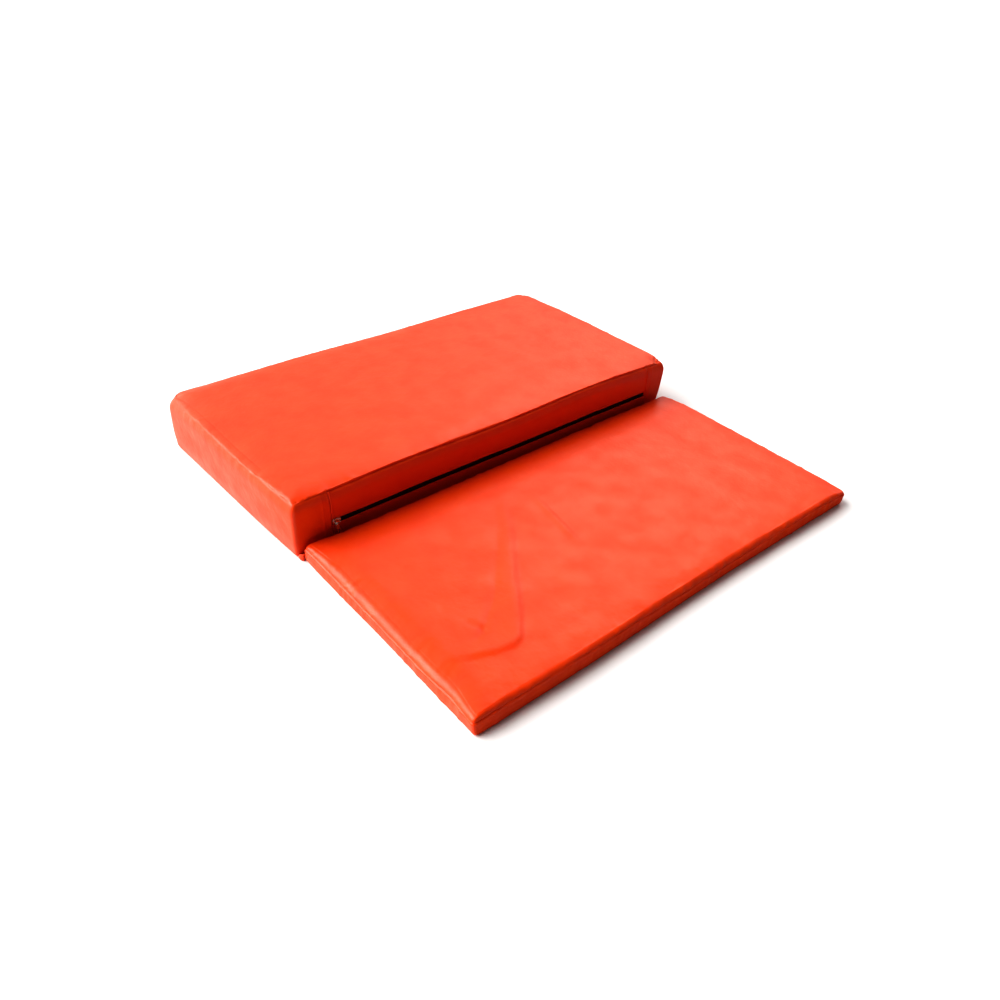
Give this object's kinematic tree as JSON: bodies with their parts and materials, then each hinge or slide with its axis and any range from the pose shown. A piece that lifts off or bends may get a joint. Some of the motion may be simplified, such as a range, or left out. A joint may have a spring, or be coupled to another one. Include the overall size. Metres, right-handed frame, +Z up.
{
  "type": "foldable seat cushion",
  "caption": "Foldable seat cushion in smooth orange-red leatherette: a thick filled seat with a zipped front, joined by a hinge strip to a thin filled leg pad.",
  "frame": {"origin": "on the floor, below the middle of the whole unfolded cushion", "axes": "+X along the zip, +Y from the leg pad towards the seat's back, +Z up from the floor"},
  "size_m": [0.6281, 0.6154, 0.0823],
  "materials": {
    "seat_leatherette": "smooth, semi-gloss",
    "pad_leatherette": "smooth, semi-gloss",
    "hinge_leatherette": "smooth, semi-gloss",
    "zip_strip_lower_leatherette": "smooth, semi-gloss",
    "zip_strip_upper_leatherette": "smooth, semi-gloss",
    "zip_fabric": "woven tape with a closed plastic chain",
    "slider_metal": "plated, semi-gloss",
    "pull_metal": "plated, semi-gloss"
  },
  "bodies": {
    "root": {"seat_cushion": "seat_leatherette", "leg_pad": "pad_leatherette", "hinge_strip": "hinge_leatherette", "zip_strip_lower": "zip_strip_lower_leatherette", "zip_strip_upper": "zip_strip_upper_leatherette", "zip_tape": "zip_fabric", "zip_slider": "slider_metal", "zip_pull": "pull_metal"}
  },
  "joints": []
}
